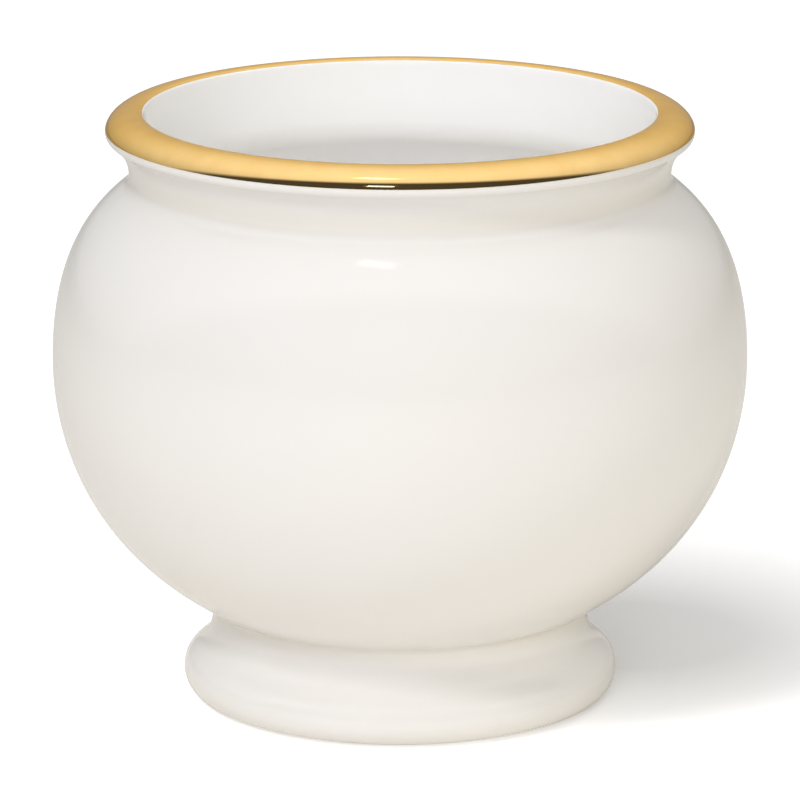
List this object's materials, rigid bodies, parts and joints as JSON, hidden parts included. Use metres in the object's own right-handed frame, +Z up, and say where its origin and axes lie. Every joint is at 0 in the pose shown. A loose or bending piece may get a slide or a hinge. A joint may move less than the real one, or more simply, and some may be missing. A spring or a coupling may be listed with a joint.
{
  "type": "vase",
  "caption": "Round porcelain vase on a short pedestal foot, with a wide flared mouth and a broad gold band round the lip.",
  "frame": {"origin": "middle of the foot's standing ring, on the surface the vase rests on", "axes": "+Z up the vase's axis, out of its mouth; X and Y lie in the resting plane, and the vase is round about Z"},
  "size_m": [0.178, 0.178, 0.1532],
  "materials": {
    "porcelain": "bare fired porcelain, fine matte grain",
    "ivory_glaze": "glossy ivory glaze",
    "white_glaze": "glossy white glaze",
    "gold": "burnished fired gold, a little soft on top and bright at its outer edge"
  },
  "bodies": {
    "root": {"vase_body": "porcelain", "pedestal_foot": "porcelain", "slip_joint": "porcelain", "outer_glaze": "ivory_glaze", "inner_glaze": "white_glaze", "recess_glaze": "ivory_glaze", "gold_rim": "gold"}
  },
  "joints": []
}
